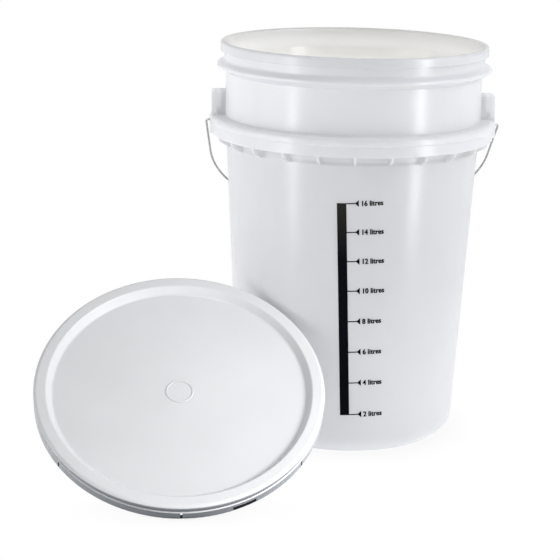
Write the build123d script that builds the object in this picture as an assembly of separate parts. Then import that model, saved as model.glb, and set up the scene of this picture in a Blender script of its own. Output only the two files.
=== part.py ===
from build123d import *
import math
import os

# Plastic fermenting bucket, about 25 litres, with a push-fit lid and a wire bail.
# Frame: millimetres, +Z up, origin at the centre of the rest plane under the bucket.
# The two ears lie on the X axis, the printed scale faces -Y and the bail hangs towards
# +Y. The lid stands off the bucket towards -X and -Y, tilted on its lower edge.
#
# Name endings: _R radius, _D diameter, _T thickness, _L length, _W width, _H height,
# _X and _Z places along those axes. Angles are in degrees.

# ---------------------------------------------------------------------------
# shared dimensions
# ---------------------------------------------------------------------------
BASE_R = 127.2           # the wall's line carried down to z = 0
COLLAR_WALL_R = 148.1    # outside of the wall at the top of the collar
COLLAR_Z = 375.0         # top of the collar
SKIRT_Z = 352.8          # lower edge of the collar's skirt and of the ears
RIB_TIP_Z = 341.0        # lower tips of the gussets
RIB_T = 2.6              # gussets and foot ribs
WIRE_D = 2.4
RUNNING_GAP = 0.05       # radial clearance round the wire
PIN_Z = 367.0            # axis of the bail's two ends

# ---------------------------------------------------------------------------
# helpers
# ---------------------------------------------------------------------------


def rounded_wire(points):
    """A closed wire of lines and arcs through (r, z, fillet radius) points in the XZ plane."""
    corners = [Vector(x, 0, z) for x, z, _ in points]
    count = len(points)
    spots = []           # (start, arc middle or None, end) at each corner
    for i, (_, _, radius) in enumerate(points):
        corner = corners[i]
        to_last = (corners[i - 1] - corner).normalized()
        to_next = (corners[(i + 1) % count] - corner).normalized()
        half = math.acos(max(-1.0, min(1.0, to_last.dot(to_next)))) / 2
        # a corner that is all but straight is left unrounded
        if radius <= 0 or half > math.radians(89.9):
            spots.append((corner, None, corner))
            continue
        back = radius / math.tan(half)
        inset = radius / math.sin(half) - radius
        middle = corner + (to_last + to_next).normalized() * inset
        spots.append((corner + to_last * back, middle, corner + to_next * back))
    edges = []
    for i, (first, middle, last) in enumerate(spots):
        if middle is not None:
            edges.append(Edge.make_three_point_arc(first, middle, last))
        following = spots[(i + 1) % count][0]
        if (following - last).length > 1e-6:
            edges.append(Edge.make_line(last, following))
    return Wire(edges)


def turned(points, span=360):
    """A solid of revolution about Z from a closed (r, z, fillet radius) profile."""
    return Solid.revolve(Face(rounded_wire(points)), span, Axis.Z)


def block(x0, x1, y0, y1, z0, z1):
    """A box between two limits on each axis."""
    return Pos((x0 + x1) / 2, (y0 + y1) / 2, (z0 + z1) / 2) * Box(x1 - x0, y1 - y0, z1 - z0)


def only_solid(shape):
    """The one solid of a shape that should hold exactly one."""
    found = shape.solids()
    if len(found) != 1:
        raise ValueError(f"expected 1 solid, found {len(found)}")
    return found[0]


def wall_radius(z):
    """Outside radius of the tapered wall at height z."""
    return BASE_R + (COLLAR_WALL_R - BASE_R) * z / COLLAR_Z


# ---------------------------------------------------------------------------
# bucket: shell and foot
# ---------------------------------------------------------------------------
BUCKET_H = 460.0         # top of the rolled lip
LIP_R = 155.1
LIP_DROP = 11.0          # height of the lip's outer skirt
LIP_T = 2.2
LIP_TOP_T = 3.0
NECK_R = 150.3           # wall between the lip and the stacking ring
NECK_Z = 438.8           # bottom of the neck
NOSE_R = 161.2           # nose of the stacking ring, before rounding
NOSE_Z = 433.0
RING_LOW_Z = 425.2       # where the ring's underside meets the wall
UPPER_R = 148.4          # wall just under the ring
CORNER_R = 26.0          # rounding between wall and underside
WALL_T = 2.2
STEP_IN = 1.1            # the wall steps in above the gussets' tips
STEP_TOP_Z = RIB_TIP_Z + 3.5
FLOOR_TOP_Z = 10.5       # inside floor
FLOOR_LOW_Z = 7.6        # underside of the floor plate, inside the foot ring
FOOT_IN_R = 98.0         # inside of the foot ring
HUB_R = 20.0             # flat hub in the middle of the underside
FOOT_RIBS = 8
FOOT_OVERLAP = 0.6       # how far hub and foot ribs reach into the floor plate


def make_shell():
    """The wall, floor, foot ring, stacking ring and lip in one profile."""
    slope = math.atan((COLLAR_WALL_R - BASE_R) / COLLAR_Z)
    level_t = WALL_T / math.cos(slope)           # wall thickness measured level
    tip_r = wall_radius(RIB_TIP_Z)
    inner_collar_r = COLLAR_WALL_R - level_t
    return turned([
        # underside and foot ring
        (0, FLOOR_LOW_Z, 0),
        (FOOT_IN_R - 1.2, FLOOR_LOW_Z, 1.5),
        (FOOT_IN_R, 0, 0.8),
        (BASE_R, 0, CORNER_R),
        # outside, going up
        (tip_r, RIB_TIP_Z, 3.0),
        (tip_r - STEP_IN, STEP_TOP_Z, 3.0),
        (COLLAR_WALL_R - STEP_IN, COLLAR_Z - 4.0, 0),
        (COLLAR_WALL_R - STEP_IN, COLLAR_Z - 2.5, 0),
        (COLLAR_WALL_R, COLLAR_Z - 2.0, 0),
        (UPPER_R, RING_LOW_Z, 1.0),
        (NOSE_R, NOSE_Z, 2.4),
        (NECK_R, NECK_Z, 3.5),
        # lip
        (NECK_R, BUCKET_H - LIP_TOP_T, 1.0),
        (LIP_R - LIP_T, BUCKET_H - LIP_TOP_T, 1.0),
        (LIP_R - LIP_T, BUCKET_H - LIP_DROP, 0.6),
        (LIP_R, BUCKET_H - LIP_DROP, 0.8),
        (LIP_R, BUCKET_H, 3.2),
        (NECK_R - WALL_T, BUCKET_H, 2.8),
        # inside, going down
        (NECK_R - WALL_T, NECK_Z - 2.0, 8.0),
        (UPPER_R - WALL_T, NOSE_Z - 6.0, 8.0),
        (inner_collar_r, COLLAR_Z, 12),
        (inner_collar_r - STEP_IN, COLLAR_Z - 8.0, 12),
        (tip_r - level_t - STEP_IN, STEP_TOP_Z, 3.0),
        (tip_r - level_t, RIB_TIP_Z, 3.0),
        (wall_radius(FLOOR_TOP_Z) - level_t, FLOOR_TOP_Z, 17.0),
        (0, FLOOR_TOP_Z, 0),
    ])


def make_foot():
    """Hub and ribs under the floor, level with the foot ring."""
    height = FLOOR_LOW_Z + FOOT_OVERLAP
    foot = Pos(0, 0, height / 2) * Cylinder(HUB_R, height)
    for i in range(FOOT_RIBS):
        rib = block(HUB_R - 3, FOOT_IN_R + 1.5, -RIB_T / 2, RIB_T / 2, 0, height)
        foot = foot + Rot(0, 0, 360 / FOOT_RIBS * (i + 0.5)) * rib
    return foot


# ---------------------------------------------------------------------------
# bucket: collar and gussets
# ---------------------------------------------------------------------------
BEAD_R = 164.3
BEAD_LOW_Z = 366.0
SKIRT_R = 163.0
SKIRT_T = 2.2
SKIRT_DRAFT = 0.2        # the skirt's lower edge lies this far inwards
SKIRT_IN_R = SKIRT_R - SKIRT_T
COLLAR_ROOT_R = COLLAR_WALL_R - 1.7
GUSSET_TOP_Z = COLLAR_Z - 2.6
GUSSET_OUT_R = SKIRT_IN_R + 0.6
GUSSETS = 24             # places round the collar; the two at the ears stay empty
GUSSET_OFFSET = -1.9     # the gussets are turned a little from the ears


def make_collar():
    """A rounded bead over an inset skirt, open below."""
    return turned([
        (COLLAR_ROOT_R, COLLAR_Z - 0.2, 0),
        (BEAD_R, COLLAR_Z - 1.2, 5.0),
        (BEAD_R, BEAD_LOW_Z, 0.9),
        (SKIRT_R, BEAD_LOW_Z - 1.2, 0.6),
        (SKIRT_R - SKIRT_DRAFT, SKIRT_Z, 0.7),
        (SKIRT_IN_R - SKIRT_DRAFT, SKIRT_Z, 0.7),
        (SKIRT_IN_R, COLLAR_Z - 4.0, 1.6),
        (COLLAR_ROOT_R, COLLAR_Z - 3.2, 0),
    ])


def make_gusset():
    """One rib between wall and skirt, its tip below the skirt."""
    tip_r = wall_radius(RIB_TIP_Z)
    outline = rounded_wire([
        (COLLAR_WALL_R - 2.0, GUSSET_TOP_Z, 0),
        (GUSSET_OUT_R, GUSSET_TOP_Z, 0),
        (GUSSET_OUT_R, SKIRT_Z + 1.5, 0.6),
        (SKIRT_IN_R - 3.5, SKIRT_Z - 6.5, 4.0),
        (tip_r + 1.2, RIB_TIP_Z, 1.2),
        (tip_r - 1.6, RIB_TIP_Z - 1.2, 0),
    ])
    return Pos(0, RIB_T / 2, 0) * extrude(Face(outline), RIB_T, dir=(0, -1, 0))


# ---------------------------------------------------------------------------
# bucket: ears, hollow boxes open below, with a boss and a hole for the wire
# ---------------------------------------------------------------------------
EAR_X = 165.0            # flat outer face
EAR_HALF_W = 13.0
EAR_TOP_Z = 402.0
EAR_PLATE_T = 3.0        # outer plate
EAR_WALL_T = 2.2         # sides and top
BOSS_RAISE = 1.2
BOSS_SINK = 0.5          # how far the boss starts inside the plate
BOSS_W = 14.0
BOSS_H = 22.0
BOSS_Z = 362.0
RECESS_W = 8.0           # shallow recess in each side of an ear
RECESS_H = 7.0
RECESS_CORNER_R = 2.5
RECESS_X = 154.5
RECESS_Z = 380.5
RECESS_DEPTH = 1.2


def make_ear_box():
    ear = block(COLLAR_WALL_R - 1.0, EAR_X, -EAR_HALF_W, EAR_HALF_W, SKIRT_Z, EAR_TOP_Z)
    across = ear.edges().filter_by(Axis.Y)
    top_edge = across.sort_by(lambda e: e.center().X + e.center().Z)[-1]
    ear = fillet(top_edge, 3.0)
    side_edges = [e for e in ear.edges().filter_by(Axis.Z) if e.center().X > EAR_X - 0.5]
    return fillet(side_edges, 1.2)


def make_ear_boss():
    slot = SlotOverall(BOSS_H, BOSS_W)
    boss = Pos(EAR_X - BOSS_SINK, 0, BOSS_Z) * Rot(0, 90, 0) * extrude(
        slot, BOSS_RAISE + BOSS_SINK)
    return fillet(boss.faces().sort_by(Axis.X)[-1].edges(), 0.5)


def make_ear_recesses():
    """Cutters for the recesses in the ear's -Y and +Y sides."""
    cutter = extrude(RectangleRounded(RECESS_W, RECESS_H, RECESS_CORNER_R), 5)
    side_y = EAR_HALF_W - RECESS_DEPTH
    return (Pos(RECESS_X, -side_y, RECESS_Z) * Rot(90, 0, 0) * cutter
            + Pos(RECESS_X, side_y, RECESS_Z) * Rot(-90, 0, 0) * cutter)


def add_ears(body):
    inner_half_w = EAR_HALF_W - EAR_WALL_T
    ear = make_ear_box()
    hollow = block(COLLAR_WALL_R - 3.0, EAR_X - EAR_PLATE_T, -inner_half_w, inner_half_w,
                   SKIRT_Z - 5, EAR_TOP_Z - EAR_WALL_T)
    boss = make_ear_boss()
    recesses = make_ear_recesses()
    wire_hole = Pos(EAR_X - 1, 0, PIN_Z) * Rot(0, 90, 0) * Cylinder(
        WIRE_D / 2 + RUNNING_GAP, 10)
    for angle in (0, 180):
        side = Rot(0, 0, angle)
        body = body + side * ear
        body = body - side * hollow
        body = body + side * boss
        body = body - side * recesses
        body = body - side * wire_hole
    return body


def make_bucket():
    rim = make_collar()
    gusset = make_gusset()
    for i in range(GUSSETS):
        if i % (GUSSETS // 2) == 0:
            continue                      # an ear stands here
        rim = rim + Rot(0, 0, 360 / GUSSETS * i + GUSSET_OFFSET) * gusset
    rim = add_ears(rim)
    return only_solid(make_shell() + make_foot() + rim)


# ---------------------------------------------------------------------------
# printed scale: a bar with a tick and an arrowhead at each mark
# ---------------------------------------------------------------------------
INK_GAP = 0.02           # between wall and ink
INK_T = 0.15
SCALE_TILT = 2.6         # the print sits slightly turned on the wall
BAR_W = 10.4
BAR_X = -6.7             # middle of the bar at the lowest mark
MARKS_Z = (51.0, 89.0, 125.8, 162.0, 197.6, 232.0, 265.6, 298.4)
TICK_T = 1.2
TICK_L = 10.2
ARROW_L = 3.6
ARROW_H = 8.0
FILM_Z = (30.0, 320.0)   # height range of the film the print is cut from


def print_patch(points):
    """Extrude a flat outline through the -Y side of the wall.

    Points are (u, v): u right of the bar's middle, v up from the lowest mark.
    """
    cosine = math.cos(math.radians(SCALE_TILT))
    sine = math.sin(math.radians(SCALE_TILT))
    corners = [Vector(BAR_X + u * cosine - v * sine, -200, MARKS_Z[0] + v * cosine + u * sine)
               for u, v in points]
    return extrude(Face(Wire.make_polygon(corners, close=True)), 100, dir=(0, 1, 0))


def print_strip(u0, u1, v0, v1):
    return print_patch([(u0, v0), (u1, v0), (u1, v1), (u0, v1)])


def make_scale():
    heights = [(z - MARKS_Z[0]) / math.cos(math.radians(SCALE_TILT)) for z in MARKS_Z]
    half_t = TICK_T / 2
    tick_end = BAR_W / 2 + TICK_L
    arrow_end = tick_end + ARROW_L
    ink = print_strip(-BAR_W / 2, BAR_W / 2, -half_t, heights[-1] + half_t)
    for v in heights:
        ink = ink + print_strip(BAR_W / 2 - 1, tick_end + 0.5, v - half_t, v + half_t)
        ink = ink + print_patch([
            (tick_end - 0.6, v),
            (arrow_end, v + ARROW_H / 2),
            (arrow_end, v - ARROW_H / 2),
        ])
    low, high = FILM_Z
    film = turned([
        (wall_radius(low) + INK_GAP, low, 0),
        (wall_radius(low) + INK_GAP + INK_T, low, 0),
        (wall_radius(high) + INK_GAP + INK_T, high, 0),
        (wall_radius(high) + INK_GAP, high, 0),
    ])
    return only_solid(film & ink)


# ---------------------------------------------------------------------------
# lid and gasket, in the lid's own frame: z = 0 at the skirt's lower edge,
# +z out of its top face
# ---------------------------------------------------------------------------
LID_R = 158.4
LID_H = 20.8
LID_T = 2.0
LID_SKIRT_IN_R = 155.6
LID_BEAD_IN_R = 153.3    # locking bead that goes under the lip
LID_BEAD_Z = 3.6
LID_RIM_IN_R = 144.6     # inner edge of the raised rim
LID_PANEL_R = 138.6      # edge of the recessed panel
PANEL_TOP_Z = LID_H - 9.0
ROOF_Z = LID_H - LID_T   # underside of the rim
GROOVE_DEPTH = 1.6       # groove under the rim, where the skirt tears off
CENTRE_RING_R = 15.5
CENTRE_RING_H = 1.1
CUT_IN_R = LID_SKIRT_IN_R - 4            # radial reach of the cuts through the skirt
CUT_OUT_R = LID_R + 3
SLOT_W = 2.4
SLOT_Z = (1.6, LID_H - 11.4)
SLOT_ANGLES = (-90.0, -35.5, -144.5, 19.0, 161.0, 73.0, 107.0)
TEAR_ANGLE = -65.0       # middle of the wide opening in the skirt
TEAR_SPAN = 10.0
TEAR_Z = (1.4, 6.0)

GASKET_R = 151.6         # middle of the gasket's width
GASKET_W = 5.0
GASKET_T = 2.2

# where the lid stands
LID_TILT = 35.0          # its axis leans this far from vertical
LID_TURN = 3.0           # and faces this far towards +X from -Y
LID_X = -192.6
LID_Y = -203.1
LID_FLOOR_GAP = -0.15    # below zero, as the skirt's edge is rounded


def place_lid():
    """Location of the lid's frame, with the skirt's lowest edge on the rest plane."""
    lean = math.radians(LID_TILT)
    turn = math.radians(LID_TURN)
    axis = Vector(math.sin(lean) * math.sin(turn), -math.sin(lean) * math.cos(turn),
                  math.cos(lean))
    uphill = Vector(-math.cos(lean) * math.sin(turn), math.cos(lean) * math.cos(turn),
                    math.sin(lean))
    origin = (LID_X, LID_Y, LID_R * math.sin(lean) + LID_FLOOR_GAP)
    return Plane(origin=origin, x_dir=uphill.cross(axis), z_dir=axis).location


def make_lid():
    lid = turned([
        # top face, going out
        (0, PANEL_TOP_Z, 0),
        (LID_PANEL_R, PANEL_TOP_Z, 3.0),
        (LID_RIM_IN_R, LID_H, 2.2),
        (LID_R, LID_H, 4.0),
        # outside, going down past the groove
        (LID_R, LID_H - 5.4, 0.5),
        (LID_R - GROOVE_DEPTH, LID_H - 6.2, 0.4),
        (LID_R - GROOVE_DEPTH, LID_H - 10.4, 0.4),
        (LID_R - 0.4, LID_H - 11.2, 0.5),
        (LID_R, 0, 0.7),
        # inside of the skirt, going up
        (LID_SKIRT_IN_R - 0.2, 0, 0.5),
        (LID_BEAD_IN_R, LID_BEAD_Z, 0.7),
        (LID_SKIRT_IN_R, LID_BEAD_Z + 1.6, 0.5),
        (LID_SKIRT_IN_R, ROOF_Z, 1.6),
        # underside, going in
        (LID_RIM_IN_R + 2.4, ROOF_Z, 1.4),
        (LID_PANEL_R + 2.6, PANEL_TOP_Z - LID_T, 3.0),
        (0, PANEL_TOP_Z - LID_T, 0),
    ])
    lid = lid + Pos(0, 0, PANEL_TOP_Z - 0.3) * turned([
        (CENTRE_RING_R - 2.4, 0, 0),
        (CENTRE_RING_R, 0, 0),
        (CENTRE_RING_R - 0.5, CENTRE_RING_H, 0.4),
        (CENTRE_RING_R - 1.9, CENTRE_RING_H, 0.4),
    ])
    for angle in SLOT_ANGLES:
        slot = block(CUT_IN_R, CUT_OUT_R, -SLOT_W / 2, SLOT_W / 2, *SLOT_Z)
        lid = lid - Rot(0, 0, angle) * slot
    low, high = TEAR_Z
    tear = turned([
        (CUT_IN_R, low, 0),
        (CUT_OUT_R, low, 0),
        (CUT_OUT_R, high, 0),
        (CUT_IN_R, high, 0),
    ], TEAR_SPAN)
    lid = lid - Rot(0, 0, TEAR_ANGLE - TEAR_SPAN / 2) * tear
    return place_lid() * only_solid(lid)


def make_gasket():
    """The ring under the roof of the lid's channel."""
    inner_r = GASKET_R - GASKET_W / 2
    outer_r = GASKET_R + GASKET_W / 2
    return place_lid() * turned([
        (inner_r, ROOF_Z - GASKET_T, 0.8),
        (outer_r, ROOF_Z - GASKET_T, 0.8),
        (outer_r, ROOF_Z, 0.3),
        (inner_r, ROOF_Z, 0.3),
    ])


# ---------------------------------------------------------------------------
# bail: bent from one wire, in a plane through the two ear holes.
# Plane coordinates are (u, w): u along X, w away from the pins.
# ---------------------------------------------------------------------------
PIN_IN_X = 157.0         # inner tip of each end
HEAD_R = 2.4             # upset head that keeps an end in its ear
HEAD_T = 2.0
LEG_X = 170.5            # centreline of a leg where it meets the pin's axis
BEND_R = 4.0
LEG_LEAN = 4.2           # legs lean inwards
LEG_END = 67.0           # w where the leg turns into the shoulder arc
SHOULDER_R = 146.0
SHOULDER_END = 63.0      # direction at the end of the shoulder arc
KNEE_R = 30.0            # last turn into the straight middle
MIDDLE_HALF_L = 47.5     # half the straight middle
BAIL_REST = 47.5         # the bail hangs this far behind the vertical, towards +Y


def bail_point(u, w):
    """Plane coordinates to a point in space."""
    rest = math.radians(BAIL_REST)
    return Vector(u, w * math.sin(rest), PIN_Z - w * math.cos(rest))


def bail_arc(begin, radius, turn_from, turn_to):
    """Segment (begin, middle, end) of an arc; directions in radians from +w towards -u."""
    def at(angle):
        return (begin[0] - radius * (math.cos(turn_from) - math.cos(angle)),
                begin[1] + radius * (math.sin(angle) - math.sin(turn_from)))
    return begin, at((turn_from + turn_to) / 2), at(turn_to)


def bail_half():
    """Segments from the +X pin to the middle: two points for a line, three for an arc."""
    lean = math.radians(LEG_LEAN)
    steep = math.radians(SHOULDER_END)
    # bend from the pin into the leg
    half_bend = (math.pi / 2 + lean) / 2
    back = BEND_R * math.tan(half_bend)
    bend_start = (LEG_X - back, 0.0)
    middle_angle = half_bend - math.pi / 2
    bend_middle = (bend_start[0] + BEND_R * math.cos(middle_angle),
                   BEND_R + BEND_R * math.sin(middle_angle))
    bend_end = (LEG_X - math.sin(lean) * back, math.cos(lean) * back)
    leg_end = (LEG_X - math.tan(lean) * LEG_END, LEG_END)
    shoulder = bail_arc(leg_end, SHOULDER_R, lean, steep)
    # the straight run leaves just enough width for the knee
    shoulder_u, shoulder_w = shoulder[-1]
    run = (shoulder_u - KNEE_R * math.cos(steep) - MIDDLE_HALF_L) / math.sin(steep)
    run_end = (shoulder_u - run * math.sin(steep), shoulder_w + run * math.cos(steep))
    return [
        ((PIN_IN_X, 0.0), bend_start),
        (bend_start, bend_middle, bend_end),
        (bend_end, leg_end),
        shoulder,
        (shoulder[-1], run_end),
        bail_arc(run_end, KNEE_R, steep, math.pi / 2),
    ]


def make_bail_wire():
    half = bail_half()
    u, w = half[-1][-1]
    other_half = [[(-u, w) for u, w in reversed(segment)] for segment in reversed(half)]
    edges = []
    for segment in half + [((u, w), (-u, w))] + other_half:
        points = [bail_point(*point) for point in segment]
        make = Edge.make_line if len(points) == 2 else Edge.make_three_point_arc
        edges.append(make(*points))
    section = Plane(origin=bail_point(PIN_IN_X, 0.0), z_dir=(1, 0, 0)) * Circle(WIRE_D / 2)
    wire = sweep(section, path=Wire(edges))
    for side in (1, -1):
        head = Pos(side * (PIN_IN_X + HEAD_T / 2), 0, PIN_Z) * Rot(0, 90, 0) * Cylinder(
            HEAD_R, HEAD_T)
        wire = wire + fillet(head.edges(), 0.5)
    return only_solid(wire)


# ---------------------------------------------------------------------------
# grip: a fluted tube that turns on the bail's straight middle
# ---------------------------------------------------------------------------
GRIP_L = 90.0
GRIP_D = 17.5
GRIP_END_RAISE = 1.2     # the ends stand this far above the middle
FLUTES = 10
FLUTE_R = 1.8
FLUTE_L = GRIP_L - 24
FLUTE_AXIS_R = GRIP_D / 2 + 1.1


def make_grip():
    bore_r = WIRE_D / 2 + RUNNING_GAP
    end_r = GRIP_D / 2 + GRIP_END_RAISE
    end_z = GRIP_L / 2
    end_profile = [
        (bore_r, end_z, 0),
        (bore_r + 3.0, end_z, 0),
        (end_r, end_z, 2.0),
        (end_r, end_z - 5.5, 2.0),
        (GRIP_D / 2, end_z - 8.0, 3.0),
    ]
    grip = turned([(r, -z, radius) for r, z, radius in end_profile] + end_profile[::-1])
    for i in range(FLUTES):
        flute = Pos(FLUTE_AXIS_R, 0, 0) * Cylinder(FLUTE_R, FLUTE_L)
        grip = grip - Rot(0, 0, 360 / FLUTES * i) * flute
    _, reach = bail_half()[-1][-1]
    middle = bail_point(0, reach)
    return only_solid(Pos(middle.X, middle.Y, middle.Z) * Rot(0, 90, 0) * grip)


# ---------------------------------------------------------------------------
# write the parts
# ---------------------------------------------------------------------------
os.makedirs("parts", exist_ok=True)
for name, make_part in (
    ("bucket", make_bucket),
    ("printed_scale", make_scale),
    ("lid", make_lid),
    ("lid_gasket", make_gasket),
    ("bail_wire", make_bail_wire),
    ("bail_grip", make_grip),
):
    export_step(make_part(), f"parts/{name}.step")
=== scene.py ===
"""A translucent bucket with a printed litre scale, a wire bail and a white lid beside it.

Metres, +Z up. The bucket stands upright about the Z axis with its base near z = 0 and its ears
towards +X and -X. The scale is on its -Y side, the front, and the lid lies tilted on that side too.
"""
import math

import bpy
import bmesh
from mathutils import Matrix, Vector


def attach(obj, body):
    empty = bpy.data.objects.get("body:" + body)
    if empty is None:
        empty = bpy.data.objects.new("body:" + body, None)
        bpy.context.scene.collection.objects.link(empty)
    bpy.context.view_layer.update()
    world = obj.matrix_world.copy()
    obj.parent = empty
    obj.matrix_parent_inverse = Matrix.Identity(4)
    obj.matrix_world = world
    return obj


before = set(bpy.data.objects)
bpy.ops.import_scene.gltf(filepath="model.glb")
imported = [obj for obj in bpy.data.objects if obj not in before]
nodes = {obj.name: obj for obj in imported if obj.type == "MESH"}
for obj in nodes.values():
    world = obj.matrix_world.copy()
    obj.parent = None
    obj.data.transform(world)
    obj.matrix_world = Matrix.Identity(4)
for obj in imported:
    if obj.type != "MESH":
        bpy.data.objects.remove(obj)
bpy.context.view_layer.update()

scene = bpy.context.scene

# ---------------------------------------------------------------- sizes
MM = 0.001

# Outside of the bucket's wall, in mm: a cone from its base to its collar
BASE_RADIUS = 127.2
COLLAR_RADIUS = 148.1
COLLAR_HEIGHT = 375.0

# Printed scale, in mm: it leans a little on the wall, about its lowest mark
MARKS = (  # litres, height on the bucket
    (2, 51.0), (4, 89.0), (6, 125.8), (8, 162.0),
    (10, 197.6), (12, 232.0), (14, 265.6), (16, 298.4),
)
SCALE_ORIGIN_X = -6.7
SCALE_ORIGIN_Z = MARKS[0][1]
SCALE_TILT = math.radians(2.6)
INK_GAP = 0.02               # between wall and ink
INK_THICKNESS = 0.15
FIGURES_START = 21.1         # from the scale's origin to the first letter
FIGURE_HEIGHT = 6.0
FIGURE_NARROWING = 0.85      # width against the font's own

# Letter source, in font units
LETTER_HALF_DEPTH = 0.05
LETTER_OUTLINE_GROWTH = 0.022
LETTER_SPACING = 1.05
LETTER_WIDENING = 0.06       # added to the upright strokes

# Lid at rest
LID_AXIS = (0.0300190, -0.5727903, 0.8191520)
LID_FOOT = 0.184853          # its skirt's lower edge, measured along the axis in m

# Camera, in its own axes: +X right, +Y away from it, +Z up
CAMERA_TURN = math.radians(-4.0)   # of those axes about Z, from the bucket's
CAMERA_PLACE = (0.0192, -2.2123, 0.7186)
CAMERA_YAW = -0.0450         # radians, positive to the right
CAMERA_PITCH = 0.2410        # radians, positive downwards
CAMERA_ROLL = 0.0220         # radians
SENSOR_WIDTH = 36.0          # mm
FOCAL_LENGTH = 123.068571    # mm


def from_camera_frame(v):
    """Turn a vector in the camera's axes into the bucket's frame."""
    c, s = math.cos(CAMERA_TURN), math.sin(CAMERA_TURN)
    return Vector((v[0] * c - v[1] * s, v[0] * s + v[1] * c, v[2]))


# ---------------------------------------------------------------- shader node helpers
def srgb(red, green, blue):
    """An 8-bit sRGB colour as linear RGBA."""
    def linear(c):
        c /= 255.0
        return c / 12.92 if c <= 0.04045 else ((c + 0.055) / 1.055) ** 2.4
    return (linear(red), linear(green), linear(blue), 1.0)


class Graph:
    """The node tree of a material or world. Inputs take a constant or another node's output."""

    def __init__(self, owner):
        owner.use_nodes = True
        self.tree = owner.node_tree
        self.tree.nodes.clear()

    def add(self, kind, inputs=None, **properties):
        node = self.tree.nodes.new(kind)
        for name, value in properties.items():
            setattr(node, name, value)
        for key, value in (inputs or {}).items():
            if isinstance(value, bpy.types.NodeSocket):
                self.tree.links.new(value, node.inputs[key])
            else:
                node.inputs[key].default_value = value
        return node

    def remap(self, value, span=(0.0, 1.0), to=(0.0, 1.0), **properties):
        """Carry the range `span` onto the range `to`."""
        inputs = {"From Min": span[0], "From Max": span[1],
                  "To Min": to[0], "To Max": to[1], "Value": value}
        return self.add("ShaderNodeMapRange", inputs, **properties).outputs[0]

    def math(self, operation, *values):
        return self.add("ShaderNodeMath", dict(enumerate(values)), operation=operation).outputs[0]

    def vector(self, operation, *values, output="Value"):
        node = self.add("ShaderNodeVectorMath", dict(enumerate(values)), operation=operation)
        return node.outputs[output]

    def xyz(self, vector):
        return self.add("ShaderNodeSeparateXYZ", {0: vector}).outputs

    def mix_shaders(self, factor, first, second):
        return self.add("ShaderNodeMixShader", {0: factor, 1: first, 2: second}).outputs[0]

    def by_ray(self, others, camera):
        """One shader for camera rays and one for all others."""
        ray = self.add("ShaderNodeLightPath").outputs["Is Camera Ray"]
        return self.mix_shaders(ray, others, camera)


class Material(Graph):
    def __init__(self, name):
        self.material = bpy.data.materials.new(name)
        super().__init__(self.material)
        self.place = self.add("ShaderNodeTexCoord").outputs["Object"]

    def noise(self, scale, detail, roughness=0.5, distortion=0.0):
        inputs = {"Scale": scale, "Detail": detail, "Roughness": roughness,
                  "Distortion": distortion, "Vector": self.place}
        return self.add("ShaderNodeTexNoise", inputs).outputs["Fac"]

    def ramp(self, factor, stops):
        """Colours by position along the factor."""
        node = self.add("ShaderNodeValToRGB", {"Fac": factor})
        elements = node.color_ramp.elements
        while len(elements) < len(stops):
            elements.new(0.5)
        for element, (position, colour) in zip(elements, stops.items()):
            element.position = position
            element.color = colour
        return node.outputs["Color"]

    def mix(self, factor, first, second):
        inputs = {0: factor, 6: first, 7: second}
        return self.add("ShaderNodeMix", inputs, data_type="RGBA", blend_type="MIX").outputs[2]

    def bump(self, height, strength, distance, under=None):
        inputs = {"Strength": strength, "Distance": distance, "Height": height}
        if under is not None:
            inputs["Normal"] = under
        return self.add("ShaderNodeBump", inputs).outputs[0]

    def painted_occlusion(self, distance, factor, span=(0.35, 0.95)):
        """A colour factor for painted shade and light: goes from 1 in the open to `factor` in
        corners and gaps narrower than the distance.
        """
        node = self.add("ShaderNodeAmbientOcclusion", {"Distance": distance}, samples=8)
        return self.remap(node.outputs["AO"], span=span, to=(factor, 1.0))

    def shade(self, colour, factor):
        inputs = {0: colour, "Scale": factor}
        return self.add("ShaderNodeVectorMath", inputs, operation="SCALE").outputs[0]

    def normal(self):
        return self.add("ShaderNodeNewGeometry").outputs["Normal"]

    def principled(self, **values):
        inputs = {name.replace("_", " "): value for name, value in values.items()}
        return self.add("ShaderNodeBsdfPrincipled", inputs).outputs[0]

    def finish(self, shader):
        self.add("ShaderNodeOutputMaterial", {"Surface": shader})
        return self.material


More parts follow.
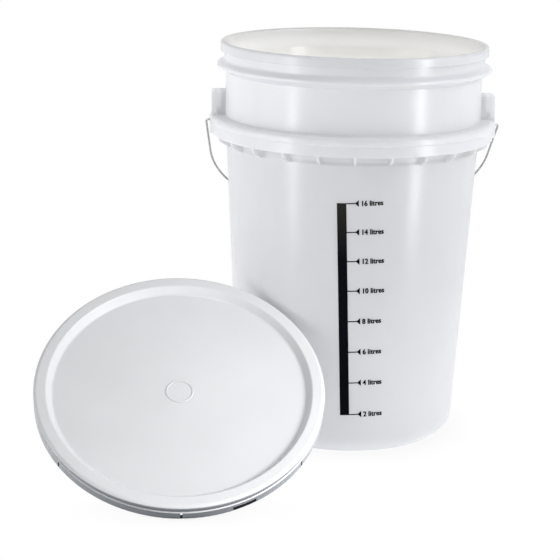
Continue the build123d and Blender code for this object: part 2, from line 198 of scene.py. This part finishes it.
# ---------------------------------------------------------------- materials
def natural_plastic():
    """Translucent natural polyethylene: soft scattering, faint flow lines, fine moulded grain."""
    m = Material("natural_plastic")
    broad = m.noise(scale=7.0, detail=2.0)
    cloud = m.noise(scale=26.0, detail=3.0, roughness=0.55)
    grain = m.noise(scale=900.0, detail=1.0)

    # painted light: faces turned away from the Z axis are tinted a little cooler and those turned
    # to it a little warmer, standing in for the warmer light inside the bucket
    outer = m.ramp(broad, stops={0.3: srgb(233, 234, 239), 0.7: srgb(237, 238, 242)})
    inner = m.ramp(broad, stops={0.3: srgb(237, 236, 233), 0.7: srgb(240, 239, 237)})
    flat = m.vector("MULTIPLY", m.place, (1, 1, 0), output="Vector")
    outward = m.vector("DOT_PRODUCT", flat, m.normal())
    tint = m.mix(m.remap(outward, span=(-0.03, 0.03)), inner, outer)

    # painted light: the collar's overhang is made up to 15% lighter in colour, standing in for the
    # light its two walls scatter
    place = m.xyz(m.place)
    radius = m.vector("LENGTH", flat)
    overhang_painted_light = m.math("MULTIPLY", m.remap(radius, span=(0.151, 0.158)),
                      m.remap(place["Z"], span=(0.372, 0.380), to=(1.0, 0.0)))
    tint = m.shade(tint, m.remap(overhang_painted_light, to=(1.0, 1.15)))

    # the ears, ring and lip stand out from the wall; painted light: the ears' colour is made up to
    # 16% lighter
    standing_out = m.math("MULTIPLY", m.remap(radius, span=(0.1515, 0.1550)),
                          m.remap(place["Z"], span=(0.376, 0.380)))
    ears = m.math("MULTIPLY",
                  m.remap(m.math("ABSOLUTE", place["X"]), span=(0.1515, 0.1530)),
                  m.remap(place["Z"], span=(0.412, 0.418), to=(1.0, 0.0)))
    ears = m.math("MULTIPLY", standing_out, ears)
    tint = m.shade(tint, m.remap(ears, to=(1.0, 1.16)))

    # painted light: the colour is made up to 7% lighter in corners and gaps, standing in for light
    # that leaks through the wall into them
    tint = m.shade(tint, m.painted_occlusion(distance=0.03, factor=1.07))
    relief = m.bump(broad, strength=0.2, distance=0.003)
    relief = m.bump(grain, strength=0.05, distance=0.00005, under=relief)
    body = m.principled(
        Base_Color=tint, Roughness=m.remap(cloud, span=(0.3, 0.7), to=(0.21, 0.27)), IOR=1.5,
        Subsurface_Weight=0.5, Subsurface_Radius=(1.0, 0.97, 0.92), Subsurface_Scale=0.008,
        Normal=relief)

    # the wall lets light through; the closed shapes that stand out scatter it instead
    through = m.add("ShaderNodeBsdfTranslucent", {"Color": tint}).outputs[0]
    share = m.math("MINIMUM", m.remap(standing_out, to=(0.28, 0.16)),
                   m.remap(ears, to=(0.28, 0.02)))
    return m.finish(m.mix_shaders(share, body, through))


def white_plastic():
    """Opaque white lid plastic with a satin face."""
    m = Material("white_plastic")
    broad = m.noise(scale=9.0, detail=2.0)
    grain = m.noise(scale=900.0, detail=1.0)
    scuff = m.noise(scale=60.0, detail=6.0, roughness=0.7, distortion=0.6)
    tint = m.ramp(broad, stops={0.3: srgb(208, 209, 211), 0.7: srgb(213, 214, 216)})
    tint = m.mix(m.remap(scuff, span=(0.58, 0.75), to=(0.0, 0.25)), tint, srgb(203, 205, 208))

    normal = m.normal()
    # painted shade: faces turned downwards are tinted blue-grey
    downward = m.remap(m.xyz(normal)["Z"], span=(-0.55, -0.1), to=(1.0, 0.0))
    tint = m.mix(downward, tint, srgb(176, 182, 188))

    # faces square to the lid's axis have a component of 1 along it, the skirt's sides 0
    axial = m.vector("DOT_PRODUCT", normal, LID_AXIS)
    skirt = m.remap(m.math("ABSOLUTE", axial), span=(0.35, 0.8), to=(1.0, 0.0))
    side = m.remap(m.math("ABSOLUTE", axial), span=(0.15, 0.45), to=(0.6, 0.0))
    # painted shade: the skirt's sides are tinted grey
    tint = m.mix(side, tint, srgb(172, 175, 179))
    # painted shade: the skirt's lower side is tinted dark grey, standing in for its own shade
    tint = m.mix(m.math("MULTIPLY", skirt, downward), tint, srgb(104, 108, 113))

    # painted shade: the upward faces inside the skirt's narrow slots are coloured near-black,
    # standing in for the shade in the slots
    along = m.vector("DOT_PRODUCT", m.place, LID_AXIS)
    slot_heights = (LID_FOOT + 0.0085, LID_FOOT + 0.0095)
    slot_painted_shade = m.math("MULTIPLY", m.remap(along, span=slot_heights, to=(1.0, 0.0)),
                   m.remap(axial, span=(0.3, 0.8)))
    tint = m.mix(slot_painted_shade, tint, srgb(24, 26, 30))
    # painted shade: the colour is darkened down to 42% in corners and gaps
    tint = m.shade(tint, m.painted_occlusion(distance=0.004, factor=0.42, span=(0.25, 0.85)))

    relief = m.bump(broad, strength=0.3, distance=0.004)
    relief = m.bump(grain, strength=0.03, distance=0.00004, under=relief)
    return m.finish(m.principled(
        Base_Color=tint, Roughness=m.remap(scuff, span=(0.35, 0.7), to=(0.34, 0.46)), IOR=1.5,
        Subsurface_Weight=0.2, Subsurface_Radius=(1.0, 0.98, 0.95), Subsurface_Scale=0.002,
        Normal=relief))


def wire_metal():
    """Zinc-plated wire: dull grey with cloudy spots and a fine grain."""
    m = Material("galvanised_wire")
    cloud = m.noise(scale=160.0, detail=4.0, roughness=0.6)
    fine = m.noise(scale=2500.0, detail=2.0)
    tint = m.ramp(cloud, stops={0.3: srgb(140, 141, 142), 0.55: srgb(172, 173, 174),
                                0.75: srgb(196, 196, 194)})
    return m.finish(m.principled(
        Base_Color=tint, Metallic=1.0,
        Roughness=m.remap(cloud, span=(0.3, 0.7), to=(0.28, 0.5)),
        Normal=m.bump(fine, strength=0.2, distance=0.00005)))


def black_ink():
    """Screen-print ink: dense, but a little thinner near the top of the scale."""
    m = Material("black_ink")
    thin = m.remap(m.xyz(m.place)["Z"], span=(0.235, 0.30))
    speck = m.noise(scale=900.0, detail=3.0, roughness=0.7)
    tint = m.mix(thin, srgb(5, 5, 15), srgb(44, 43, 40))
    tint = m.mix(m.remap(speck, span=(0.62, 0.80), to=(0.0, 0.3)), tint, srgb(70, 70, 72))
    return m.finish(m.principled(
        Base_Color=tint, Roughness=m.remap(speck, to=(0.45, 0.62)), IOR=1.2,
        Specular_IOR_Level=0.2, Normal=m.bump(speck, strength=0.15, distance=0.00005)))


def seal_rubber():
    """Matt, pale grey rubber with fine specks."""
    m = Material("seal_rubber")
    speck = m.noise(scale=1800.0, detail=3.0, roughness=0.6)
    tint = m.ramp(speck, stops={0.35: srgb(196, 196, 190), 0.65: srgb(208, 208, 203)})
    return m.finish(m.principled(
        Base_Color=tint, Roughness=0.75, Subsurface_Weight=0.1, Subsurface_Scale=0.002,
        Normal=m.bump(speck, strength=0.3, distance=0.0001)))


def grip_plastic():
    """White plastic with a fine grain."""
    m = Material("grip_plastic")
    broad = m.noise(scale=60.0, detail=3.0)
    grain = m.noise(scale=1500.0, detail=2.0, roughness=0.6)
    tint = m.ramp(broad, stops={0.3: srgb(228, 229, 230), 0.7: srgb(238, 239, 239)})
    return m.finish(m.principled(
        Base_Color=tint, Roughness=0.4, Subsurface_Weight=0.3,
        Subsurface_Radius=(1.0, 0.98, 0.95), Subsurface_Scale=0.003,
        Normal=m.bump(grain, strength=0.25, distance=0.0001)))


MATERIALS = {
    "bucket": natural_plastic(),
    "lid": white_plastic(),
    "bail_wire": wire_metal(),
    "printed_scale": black_ink(),
    "lid_gasket": seal_rubber(),
    "bail_grip": grip_plastic(),
}
for name, material in MATERIALS.items():
    slots = nodes[name].data.materials
    slots.clear()
    slots.append(material)


# ---------------------------------------------------------------- figures of the printed scale
def wall_radius(z):
    return BASE_RADIUS + (COLLAR_RADIUS - BASE_RADIUS) * z / COLLAR_HEIGHT


def place_print(across, up, depth):
    """Carry print coordinates on the wall (mm) to a point in the frame (m)."""
    x = SCALE_ORIGIN_X + across * math.cos(SCALE_TILT) - up * math.sin(SCALE_TILT)
    z = SCALE_ORIGIN_Z + up * math.cos(SCALE_TILT) + across * math.sin(SCALE_TILT)
    radius = wall_radius(z) + INK_GAP + depth
    return Vector((x * MM, -math.sqrt(radius * radius - x * x) * MM, z * MM))


def evaluated_mesh(source):
    """The mesh of an object with its modifiers applied; the object is removed."""
    depsgraph = bpy.context.evaluated_depsgraph_get()
    mesh = bpy.data.meshes.new_from_object(source.evaluated_get(depsgraph))
    bpy.data.objects.remove(source)
    return mesh


def bolder(mesh, shift):
    """The same letters with wider upright strokes: the union of two copies side by side."""
    first = bpy.data.objects.new("bold_a", mesh)
    second = bpy.data.objects.new("bold_b", mesh.copy())
    second.location.x = shift
    for copy in (first, second):
        scene.collection.objects.link(copy)
    union = first.modifiers.new("union", "BOOLEAN")
    union.operation = "UNION"
    union.solver = "EXACT"
    union.use_self = True
    union.object = second
    bpy.context.view_layer.update()
    joined = evaluated_mesh(first)
    bpy.data.objects.remove(second)
    return joined


def figures(litres, height):
    """The letters of one mark as a closed mesh laid on the wall, centred on the mark's height."""
    curve = bpy.data.curves.new("figures", "FONT")
    curve.body = f"{litres} litres"
    curve.size = 1.0
    curve.extrude = LETTER_HALF_DEPTH
    curve.offset = LETTER_OUTLINE_GROWTH
    curve.resolution_u = 6
    curve.space_character = LETTER_SPACING
    text = bpy.data.objects.new("figures_source", curve)
    scene.collection.objects.link(text)
    mesh = bolder(evaluated_mesh(text), LETTER_WIDENING)

    scale = FIGURE_HEIGHT / max(v.co.y for v in mesh.vertices)
    back = min(v.co.z for v in mesh.vertices)
    front = max(v.co.z for v in mesh.vertices)
    mark = (height - SCALE_ORIGIN_Z) / math.cos(SCALE_TILT)
    for vertex in mesh.vertices:
        x, y, z = vertex.co
        vertex.co = place_print(
            across=FIGURES_START + x * scale * FIGURE_NARROWING,
            up=mark + y * scale - FIGURE_HEIGHT / 2,
            depth=(z - back) / (front - back) * INK_THICKNESS)
    mesh.update()
    return mesh


def build_scale_figures():
    joined = bmesh.new()
    for litres, height in MARKS:
        joined.from_mesh(figures(litres, height))
    bmesh.ops.recalc_face_normals(joined, faces=joined.faces)
    mesh = bpy.data.meshes.new("scale_figures")
    joined.to_mesh(mesh)
    joined.free()
    mesh.materials.append(MATERIALS["printed_scale"])
    figures_object = bpy.data.objects.new("scale_figures", mesh)
    scene.collection.objects.link(figures_object)
    return figures_object


scale_figures = build_scale_figures()
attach(scale_figures, "bucket_body")


# ---------------------------------------------------------------- floor
def floor_material():
    """Near-white to the camera, with painted contact shadow; a softly glowing pale floor to all
    else.
    """
    m = Material("floor")
    matt = m.principled(Base_Color=(0.90, 0.90, 0.90, 1), Roughness=0.9)
    glow = m.add("ShaderNodeEmission", {"Strength": 0.40}).outputs[0]
    lit = m.add("ShaderNodeAddShader", {0: matt, 1: glow}).outputs[0]

    # painted shadow: to the camera the floor is an emission darkened by ambient occlusion; the deep
    # contact shadow is kept to a round patch under the lid
    openness = m.add("ShaderNodeAmbientOcclusion", {"Distance": 0.05}).outputs["AO"]
    from_lid = m.vector("DISTANCE", m.place, (-0.19, -0.23, 0.0))
    deep = m.math("MAXIMUM", m.remap(openness, span=(0.06, 0.26), to=(0.08, 1.0)),
                  m.remap(from_lid, span=(0.12, 0.15)))
    faint = m.remap(openness, span=(0.30, 0.90), to=(0.95, 1.0))
    white_painted_shadow = m.add("ShaderNodeEmission", {"Strength": m.math("MULTIPLY", faint, deep)})
    return m.finish(m.by_ray(others=lit, camera=white_painted_shadow.outputs[0]))


def build_floor(half_side=20, height=-0.0003):
    mesh = bpy.data.meshes.new("floor")
    corners = [(x * half_side, y * half_side, 0) for x, y in ((-1, -1), (1, -1), (1, 1), (-1, 1))]
    mesh.from_pydata(corners, [], [(0, 1, 2, 3)])
    mesh.materials.append(floor_material())
    floor_object = bpy.data.objects.new("floor", mesh)
    floor_object.location.z = height
    scene.collection.objects.link(floor_object)
    return floor_object


floor = build_floor()


# ---------------------------------------------------------------- camera
def build_camera():
    forward = Vector((math.sin(CAMERA_YAW) * math.cos(CAMERA_PITCH),
                      math.cos(CAMERA_YAW) * math.cos(CAMERA_PITCH),
                      -math.sin(CAMERA_PITCH)))
    level_right = forward.cross(Vector((0, 0, 1))).normalized()
    level_up = level_right.cross(forward)
    right = math.cos(CAMERA_ROLL) * level_right + math.sin(CAMERA_ROLL) * level_up
    up = -math.sin(CAMERA_ROLL) * level_right + math.cos(CAMERA_ROLL) * level_up
    axes = Matrix([from_camera_frame(axis) for axis in (right, up, -forward)])
    pose = axes.transposed().to_4x4()
    pose.translation = from_camera_frame(CAMERA_PLACE)

    data = bpy.data.cameras.new("camera")
    data.sensor_width = SENSOR_WIDTH
    data.lens = FOCAL_LENGTH
    data.clip_start = 0.05
    data.clip_end = 100.0
    camera = bpy.data.objects.new("camera", data)
    scene.collection.objects.link(camera)
    camera.matrix_world = pose
    scene.camera = camera


build_camera()


# ---------------------------------------------------------------- light
def build_world():
    """White to the camera; as light, dimmer from the camera's side and from above."""
    scene.world = bpy.data.worlds.new("studio")
    w = Graph(scene.world)
    direction = w.add("ShaderNodeTexCoord").outputs["Generated"]
    to_camera = w.vector("DOT_PRODUCT", direction, from_camera_frame((0.0, -1.0, 0.0)))
    front = w.remap(to_camera, span=(0.2, 1.0), to=(0.93, 0.33), interpolation_type="SMOOTHSTEP")
    above = w.remap(w.xyz(direction)["Z"], span=(0.35, 0.95), to=(1.0, 0.62),
                    interpolation_type="SMOOTHSTEP")

    def background(strength):
        inputs = {"Color": (1, 1, 1, 1), "Strength": strength}
        return w.add("ShaderNodeBackground", inputs).outputs[0]

    surface = w.by_ray(others=background(w.math("MULTIPLY", front, above)),
                       camera=background(1.0))
    w.add("ShaderNodeOutputWorld", {"Surface": surface})


def receivers(name, pieces):
    collection = bpy.data.collections.new(name)
    for piece in pieces:
        collection.objects.link(piece)
    return collection


def add_light(data, place, on):
    """A lamp that the camera doesn't see and that lights only the pieces in `on`."""
    lamp = bpy.data.objects.new(data.name, data)
    lamp.location = place
    lamp.visible_camera = False
    scene.collection.objects.link(lamp)
    lamp.light_linking.receiver_collection = on
    return lamp


def soft_box(name, azimuth, elevation, distance, size, power, on, target=(0, 0, 0.25),
             color=(1, 1, 1)):
    """Aimed at a target; azimuth in degrees from the camera's side, positive to the right."""
    a, e = math.radians(azimuth), math.radians(elevation)
    direction = from_camera_frame(
        (math.sin(a) * math.cos(e), -math.cos(a) * math.cos(e), math.sin(e)))
    data = bpy.data.lights.new(name, "AREA")
    data.shape = "RECTANGLE"
    data.size, data.size_y = size
    data.energy = power
    data.color = color
    lamp = add_light(data, Vector(target) + direction * distance, on)
    lamp.rotation_mode = "QUATERNION"
    lamp.rotation_quaternion = (-direction).to_track_quat("-Z", "Y")
    return lamp


build_world()
on_lid = receivers("lit_lid", [nodes["lid"], nodes["lid_gasket"]])
on_bucket = receivers("lit_bucket", [
    nodes["bucket"], nodes["printed_scale"], nodes["bail_wire"], nodes["bail_grip"],
    scale_figures, floor])

# tall strips that show only as gloss on the wall
for name, azimuth, power in (("streak_left", -50, 3.3), ("streak_right", 58, 4.7)):
    streak = soft_box(name, azimuth, elevation=0, distance=0.95, size=(0.15, 0.9), power=power,
                      on=on_bucket, target=(0, 0, 0.46))
    streak.visible_diffuse = False
    streak.visible_volume_scatter = False
    streak.visible_transmission = False

soft_box("side_left", azimuth=-72, elevation=12, distance=2.2, size=(0.9, 1.4), power=9.4,
         on=on_bucket)
soft_box("side_right", azimuth=73, elevation=32, distance=1.0, size=(0.45, 0.65), power=3.0,
         on=on_bucket, target=(0, 0, 0.47), color=(0.94, 0.975, 1.0))
key = soft_box("key_lid", azimuth=55, elevation=25, distance=0.75, size=(0.3, 0.3), power=6.4,
               on=on_lid, target=(-0.12, -0.27, 0.06))
key.light_linking.blocker_collection = on_lid

# light that the translucent walls pass into the bucket
soft_box("inside_up", azimuth=0, elevation=-90, distance=0.01, size=(0.16, 0.16), power=0.20,
         on=on_bucket, target=(0, 0, 0.35))
low = bpy.data.lights.new("inside_low", "POINT")
low.energy = 0.28
low.shadow_soft_size = 0.05
add_light(low, place=(0, 0, 0.075), on=on_bucket)

scene.view_settings.view_transform = "Standard"
scene.view_settings.look = "None"
scene.view_settings.exposure = 0.0
scene.view_settings.gamma = 1.0
